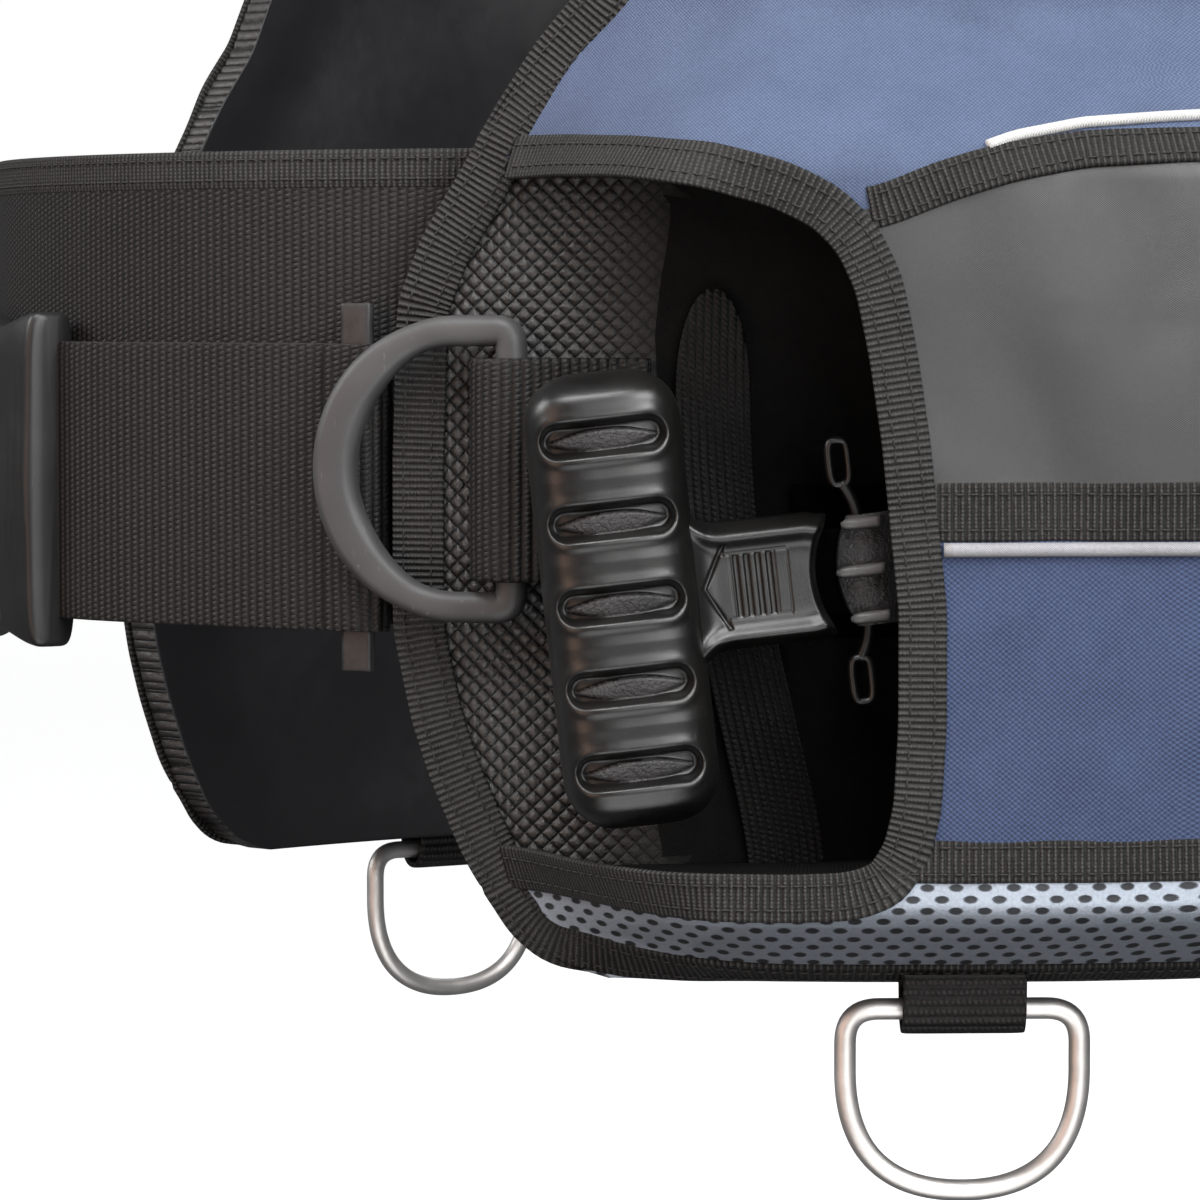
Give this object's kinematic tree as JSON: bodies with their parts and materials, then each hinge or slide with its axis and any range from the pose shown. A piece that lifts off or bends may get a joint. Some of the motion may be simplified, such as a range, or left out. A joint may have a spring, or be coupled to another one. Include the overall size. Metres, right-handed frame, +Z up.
{
  "type": "buoyancy compensator vest",
  "caption": "Jacket-style buoyancy vest with air lobes, a belt, weight pouches that pull out, a backplate with a cylinder band, and an inflator hose.",
  "frame": {"origin": "centre of the rear face of the rubber pad that the cylinder bears on", "axes": "+Z up along the wearer's spine, +Y backwards out of the pad, +X to the wearer's left"},
  "size_m": [0.484, 0.5555, 0.646],
  "materials": {
    "shell_fabric": "woven nylon",
    "lining_fabric": "woven nylon",
    "webbing": "ribbed webbing",
    "hard_plastic": "satin",
    "latch_plastic": "gloss",
    "button_plastic": "satin",
    "clear_plastic": "clear",
    "steel": "satin",
    "rubber": "matte"
  },
  "bodies": {
    "vest": {"backplate": "hard_plastic", "cam_frame": "hard_plastic", "cam_pin": "steel", "carry_handle": "webbing", "chest_buckle_socket": "hard_plastic", "chest_buckle_tongue": "hard_plastic", "hose_keeper": "webbing", "inflator_body": "hard_plastic", "inflator_elbow": "hard_plastic", "inflator_hose": "rubber", "left_belt_stay": "clear_plastic", "left_chest_strap": "webbing", "left_cummerbund": "webbing", "left_hem_tab": "webbing", "left_latch_base": "hard_plastic", "left_lobe": "shell_fabric", "left_lower_strap": "webbing", "left_pocket_strap": "webbing", "left_ring_tab": "webbing", "left_shoulder_buckle": "hard_plastic", "left_shoulder_pad": "lining_fabric", "left_waist_strap": "webbing", "lumbar_pad": "lining_fabric", "mouthpiece": "rubber", "rear_cell": "lining_fabric", "rear_dump_valve": "hard_plastic", "right_belt_stay": "clear_plastic", "right_chest_strap": "webbing", "right_cummerbund": "webbing", "right_hem_tab": "webbing", "right_latch_base": "hard_plastic", "right_lobe": "shell_fabric", "right_lower_strap": "webbing", "right_pocket_strap": "webbing", "right_ring_tab": "webbing", "right_shoulder_buckle": "hard_plastic", "right_shoulder_pad": "lining_fabric", "right_waist_strap": "webbing", "shoulder_dump_valve": "hard_plastic", "supply_nipple": "steel", "tank_band": "webbing", "tank_pad": "rubber", "upper_back_pad": "lining_fabric", "waist_buckle_socket": "hard_plastic", "waist_buckle_tongue": "hard_plastic"},
    "left_pouch": {"left_weight_handle": "hard_plastic", "left_latch_plate": "latch_plastic", "left_weight_pouch": "lining_fabric"},
    "left_belt_ring": {"left_belt_ring": "hard_plastic"},
    "left_hem_ring": {"left_hem_ring": "steel"},
    "right_pouch": {"right_weight_handle": "hard_plastic", "right_latch_plate": "latch_plastic", "right_weight_pouch": "lining_fabric"},
    "right_belt_ring": {"right_belt_ring": "hard_plastic"},
    "right_hem_ring": {"right_hem_ring": "steel"},
    "cam_lever": {"cam_lever": "hard_plastic"},
    "inflate_button": {"inflate_button": "button_plastic"},
    "deflate_button": {"deflate_button": "button_plastic"}
  },
  "joints": [
    {"name": "left_pouch_slide", "type": "slide", "parent": "vest", "child": "left_pouch", "axis": [-0.2546, -0.9606, -0.1115], "range_m": [0, 0.15]},
    {"name": "left_belt_ring_swing", "type": "hinge", "parent": "vest", "child": "left_belt_ring", "pos_m": [0.14916, -0.26629, -0.144], "axis": [0, 0, -1], "range_deg": [-80, 0]},
    {"name": "left_hem_ring_swing", "type": "hinge", "parent": "vest", "child": "left_hem_ring", "pos_m": [0.18796, -0.1793, -0.25685], "axis": [-0.2679, -0.9634, 0], "range_deg": [-60, 60]},
    {"name": "right_pouch_slide", "type": "slide", "parent": "vest", "child": "right_pouch", "axis": [0.2546, -0.9606, -0.1115], "range_m": [0, 0.15]},
    {"name": "right_belt_ring_swing", "type": "hinge", "parent": "vest", "child": "right_belt_ring", "pos_m": [-0.14916, -0.26629, -0.144], "axis": [0, 0, 1], "range_deg": [-80, 0]},
    {"name": "right_hem_ring_swing", "type": "hinge", "parent": "vest", "child": "right_hem_ring", "pos_m": [-0.18796, -0.1793, -0.25685], "axis": [0.2679, -0.9634, 0], "range_deg": [-60, 60]},
    {"name": "cam_lever_hinge", "type": "hinge", "parent": "vest", "child": "cam_lever", "pos_m": [-0.026, 0.1955, 0.01], "axis": [0, 0, 1], "range_deg": [0, 150]},
    {"name": "inflate_press", "type": "slide", "parent": "vest", "child": "inflate_button", "axis": [0, 1, 0], "range_m": [0, 0.0025], "stiffness_N_per_m": 500},
    {"name": "deflate_press", "type": "slide", "parent": "vest", "child": "deflate_button", "axis": [0, 0, 1], "range_m": [0, 0.003], "stiffness_N_per_m": 500}
  ]
}
